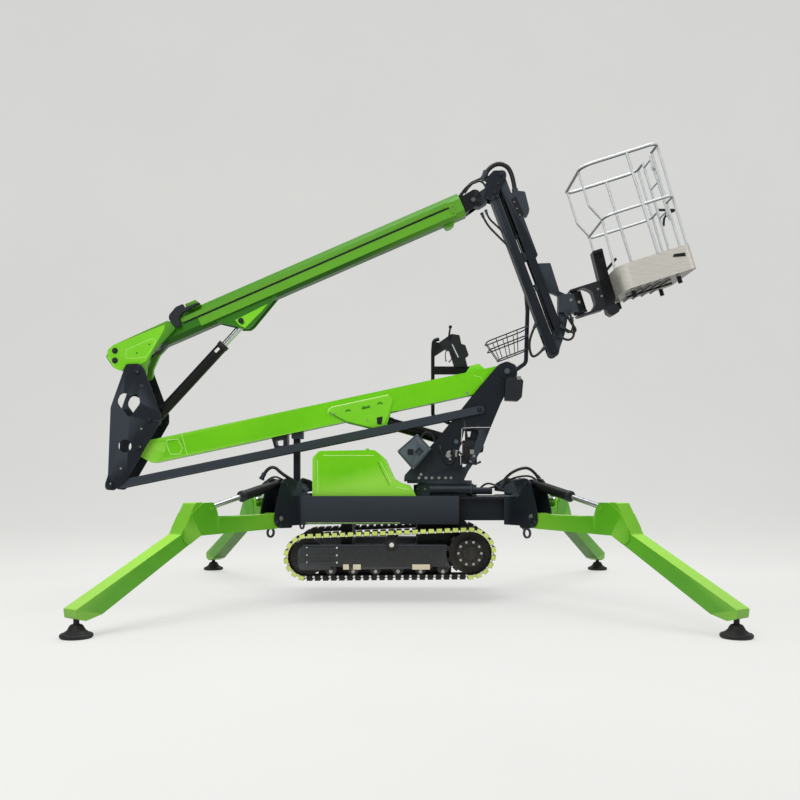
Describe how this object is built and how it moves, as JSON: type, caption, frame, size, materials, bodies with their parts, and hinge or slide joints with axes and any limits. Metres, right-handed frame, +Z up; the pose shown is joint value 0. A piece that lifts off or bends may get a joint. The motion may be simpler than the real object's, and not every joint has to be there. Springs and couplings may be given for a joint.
{
  "type": "tracked spider boom lift",
  "caption": "Crawler-tracked access platform on splayed hydraulic outriggers, with a slewing double boom, telescoping upper arm, folding jib and turning work basket.",
  "frame": {"origin": "middle of the overall footprint at floor level, under the outrigger pads' undersides", "axes": "+X along the machine towards the basket in its parked place, +Z up, +Y to the side of the ground control stand"},
  "size_m": [5.3598, 4.725, 4.1015],
  "materials": {
    "green_paint": "gloss",
    "grey_paint": "satin",
    "black_paint": "satin",
    "chrome_rod": "polished",
    "track_rubber": "matt",
    "pan_steel": "brushed",
    "rail_metal": "satin",
    "pad_black": "matt"
  },
  "bodies": {
    "base": {"chassis_frame": "grey_paint", "track_near": "track_rubber", "track_wheels_near": "black_paint", "track_frame_near": "grey_paint", "track_far": "track_rubber", "track_wheels_far": "black_paint", "track_frame_far": "grey_paint", "engine_cover": "green_paint", "engine": "black_paint", "boom_rest": "grey_paint", "slew_ring": "grey_paint", "slew_drive": "grey_paint"},
    "turret": {"turret_frame": "grey_paint", "valve_block": "black_paint", "control_stand": "black_paint", "wire_basket": "grey_paint", "control_box": "grey_paint", "hose_box": "black_paint"},
    "lower_boom": {"lower_boom": "green_paint", "hose_bracket": "black_paint"},
    "link_bars": {"link_bars": "grey_paint"},
    "riser": {"riser": "grey_paint"},
    "lift_barrel": {"lift_cylinder_barrel": "black_paint"},
    "lift_rod": {"lift_cylinder_rod": "chrome_rod"},
    "upper_boom": {"upper_boom": "green_paint", "side_channel": "green_paint", "cable_chain": "black_paint"},
    "inner_boom": {"inner_boom": "black_paint"},
    "boom_head": {"boom_head": "grey_paint"},
    "luff_barrel": {"luff_cylinder_barrel": "black_paint"},
    "luff_rod": {"luff_cylinder_rod": "chrome_rod"},
    "jib_beam": {"jib_beam": "grey_paint"},
    "jib_link": {"jib_link": "grey_paint", "jib_box": "grey_paint"},
    "jib_barrel": {"jib_cylinder_barrel": "black_paint"},
    "jib_rod": {"jib_cylinder_rod": "chrome_rod"},
    "jib_head": {"jib_head": "grey_paint", "rotator": "black_paint"},
    "basket": {"basket_yoke": "grey_paint", "basket_pan": "pan_steel", "basket_rails": "rail_metal"},
    "gate": {"basket_gate": "rail_metal"},
    "leg_left_near": {"outrigger_leg_left_near": "green_paint", "outrigger_pad_left_near": "pad_black"},
    "leg_barrel_left_near": {"outrigger_barrel_left_near": "black_paint"},
    "leg_rod_left_near": {"outrigger_rod_left_near": "chrome_rod"},
    "leg_right_near": {"outrigger_leg_right_near": "green_paint", "outrigger_pad_right_near": "pad_black"},
    "leg_barrel_right_near": {"outrigger_barrel_right_near": "black_paint"},
    "leg_rod_right_near": {"outrigger_rod_right_near": "chrome_rod"},
    "leg_left_far": {"outrigger_leg_left_far": "green_paint", "outrigger_pad_left_far": "pad_black"},
    "leg_barrel_left_far": {"outrigger_barrel_left_far": "black_paint"},
    "leg_rod_left_far": {"outrigger_rod_left_far": "chrome_rod"},
    "leg_right_far": {"outrigger_leg_right_far": "green_paint", "outrigger_pad_right_far": "pad_black"},
    "leg_barrel_right_far": {"outrigger_barrel_right_far": "black_paint"},
    "leg_rod_right_far": {"outrigger_rod_right_far": "chrome_rod"}
  },
  "joints": [
    {"name": "slew", "type": "hinge", "parent": "base", "child": "turret", "pos_m": [0.459, 0, 1.04], "axis": [0, 0, 1], "range_deg": [-175, 175]},
    {"name": "lower_raise", "type": "hinge", "parent": "turret", "child": "lower_boom", "pos_m": [1.025, 0, 2.075], "axis": [0, 1, 0], "range_deg": [0, 40]},
    {"name": "link_swing", "type": "hinge", "parent": "turret", "child": "link_bars", "pos_m": [0.77, 0, 1.72], "axis": [0, 1, 0], "range_deg": [-2, 42]},
    {"name": "riser_level", "type": "hinge", "parent": "lower_boom", "child": "riser", "pos_m": [-2.355, 0, 1.378], "axis": [0, 1, 0], "range_deg": [-42, 2]},
    {"name": "lift_barrel_swing", "type": "hinge", "parent": "turret", "child": "lift_barrel", "pos_m": [0.557, 0, 1.425], "axis": [0, 1, 0], "range_deg": [-2, 43.6]},
    {"name": "lift_rod_slide", "type": "slide", "parent": "lift_barrel", "child": "lift_rod", "axis": [-0.9615, 0, 0.2747], "range_m": [-0.01, 0.55454]},
    {"name": "upper_raise", "type": "hinge", "parent": "riser", "child": "upper_boom", "pos_m": [-2.376, 0, 2.072], "axis": [0, -1, 0], "range_deg": [-20, 45]},
    {"name": "luff_barrel_swing", "type": "hinge", "parent": "riser", "child": "luff_barrel", "pos_m": [-2.261, 0, 1.627], "axis": [0, -1, 0], "range_deg": [-17.4, 36.65]},
    {"name": "luff_rod_slide", "type": "slide", "parent": "luff_barrel", "child": "luff_rod", "axis": [0.6773, 0, 0.7357], "range_m": [-0.12519, 0.26918]},
    {"name": "telescope", "type": "slide", "parent": "upper_boom", "child": "inner_boom", "axis": [0.9171, 0, 0.3987], "range_m": [0, 1.8]},
    {"name": "head_level", "type": "hinge", "parent": "inner_boom", "child": "boom_head", "pos_m": [0.717, 0, 3.666], "axis": [0, -1, 0], "range_deg": [-47, 22]},
    {"name": "jib_raise", "type": "hinge", "parent": "boom_head", "child": "jib_beam", "pos_m": [0.915, 0, 3.74], "axis": [0, -1, 0], "range_deg": [0, 105]},
    {"name": "jib_link_swing", "type": "hinge", "parent": "boom_head", "child": "jib_link", "pos_m": [0.97, 0, 3.904], "axis": [0, -1, 0], "range_deg": [-2, 107]},
    {"name": "jib_head_level", "type": "hinge", "parent": "jib_beam", "child": "jib_head", "pos_m": [1.471, 0, 2.268], "axis": [0, -1, 0], "range_deg": [-107, 2]},
    {"name": "jib_barrel_swing", "type": "hinge", "parent": "boom_head", "child": "jib_barrel", "pos_m": [0.947, 0, 3.823], "axis": [0, -1, 0], "range_deg": [-2, 105.95]},
    {"name": "jib_rod_slide", "type": "slide", "parent": "jib_barrel", "child": "jib_rod", "axis": [0.3545, 0, -0.9351], "range_m": [-0.15661, 0.01]},
    {"name": "basket_turn", "type": "hinge", "parent": "jib_head", "child": "basket", "pos_m": [1.697, 0, 2.724], "axis": [-0.3007, 0, 0.9537], "range_deg": [-90, 90]},
    {"name": "gate_swing", "type": "hinge", "parent": "basket", "child": "gate", "pos_m": [2.42705, -0.112, 3.79678], "axis": [-0.3007, 0, 0.9537], "range_deg": [0, 85]},
    {"name": "leg_raise_left_near", "type": "hinge", "parent": "base", "child": "leg_left_near", "pos_m": [-1.05451, -0.65807, 0.74], "axis": [-0.817, 0.5766, 0], "range_deg": [-3, 70]},
    {"name": "leg_barrel_swing_left_near", "type": "hinge", "parent": "base", "child": "leg_barrel_left_near", "pos_m": [-1.0153, -0.60251, 1.043], "axis": [-0.817, 0.5766, 0], "range_deg": [-5.09, 74.1]},
    {"name": "leg_rod_slide_left_near", "type": "slide", "parent": "leg_barrel_left_near", "child": "leg_rod_left_near", "axis": [-0.5621, -0.7965, -0.2227], "range_m": [-0.3643, 0.02518]},
    {"name": "leg_raise_right_near", "type": "hinge", "parent": "base", "child": "leg_right_near", "pos_m": [1.23851, -0.65807, 0.74], "axis": [-0.817, -0.5766, 0], "range_deg": [-3, 70]},
    {"name": "leg_barrel_swing_right_near", "type": "hinge", "parent": "base", "child": "leg_barrel_right_near", "pos_m": [1.1993, -0.60251, 1.043], "axis": [-0.817, -0.5766, 0], "range_deg": [-5.09, 74.1]},
    {"name": "leg_rod_slide_right_near", "type": "slide", "parent": "leg_barrel_right_near", "child": "leg_rod_right_near", "axis": [0.5621, -0.7965, -0.2227], "range_m": [-0.3643, 0.02518]},
    {"name": "leg_raise_left_far", "type": "hinge", "parent": "base", "child": "leg_left_far", "pos_m": [-1.05451, 0.65807, 0.74], "axis": [0.817, 0.5766, 0], "range_deg": [-3, 70]},
    {"name": "leg_barrel_swing_left_far", "type": "hinge", "parent": "base", "child": "leg_barrel_left_far", "pos_m": [-1.0153, 0.60251, 1.043], "axis": [0.817, 0.5766, 0], "range_deg": [-5.09, 74.1]},
    {"name": "leg_rod_slide_left_far", "type": "slide", "parent": "leg_barrel_left_far", "child": "leg_rod_left_far", "axis": [-0.5621, 0.7965, -0.2227], "range_m": [-0.3643, 0.02518]},
    {"name": "leg_raise_right_far", "type": "hinge", "parent": "base", "child": "leg_right_far", "pos_m": [1.23851, 0.65807, 0.74], "axis": [0.817, -0.5766, 0], "range_deg": [-3, 70]},
    {"name": "leg_barrel_swing_right_far", "type": "hinge", "parent": "base", "child": "leg_barrel_right_far", "pos_m": [1.1993, 0.60251, 1.043], "axis": [0.817, -0.5766, 0], "range_deg": [-5.09, 74.1]},
    {"name": "leg_rod_slide_right_far", "type": "slide", "parent": "leg_barrel_right_far", "child": "leg_rod_right_far", "axis": [0.5621, 0.7965, -0.2227], "range_m": [-0.3643, 0.02518]}
  ],
  "couplings": [
    {"joint": "link_swing", "follows": "lower_raise", "ratio": 1},
    {"joint": "riser_level", "follows": "lower_raise", "ratio": -1},
    {"joint": "lift_barrel_swing", "follows": "lower_raise", "ratio": 1.04},
    {"joint": "lift_rod_slide", "follows": "lower_raise", "m_per_rad": 0.78},
    {"joint": "luff_barrel_swing", "follows": "upper_raise", "ratio": 0.77},
    {"joint": "luff_rod_slide", "follows": "upper_raise", "m_per_rad": 0.33},
    {"joint": "head_level", "follows": "upper_raise", "ratio": -1},
    {"joint": "jib_link_swing", "follows": "jib_raise", "ratio": 1},
    {"joint": "jib_head_level", "follows": "jib_raise", "ratio": -1},
    {"joint": "jib_barrel_swing", "follows": "jib_raise", "ratio": 0.99},
    {"joint": "jib_rod_slide", "follows": "jib_raise", "m_per_rad": -0.08},
    {"joint": "leg_barrel_swing_left_near", "follows": "leg_raise_left_near", "ratio": 1.03},
    {"joint": "leg_rod_slide_left_near", "follows": "leg_raise_left_near", "m_per_rad": -0.29},
    {"joint": "leg_barrel_swing_right_near", "follows": "leg_raise_right_near", "ratio": 1.03},
    {"joint": "leg_rod_slide_right_near", "follows": "leg_raise_right_near", "m_per_rad": -0.29},
    {"joint": "leg_barrel_swing_left_far", "follows": "leg_raise_left_far", "ratio": 1.03},
    {"joint": "leg_rod_slide_left_far", "follows": "leg_raise_left_far", "m_per_rad": -0.29},
    {"joint": "leg_barrel_swing_right_far", "follows": "leg_raise_right_far", "ratio": 1.03},
    {"joint": "leg_rod_slide_right_far", "follows": "leg_raise_right_far", "m_per_rad": -0.29}
  ]
}
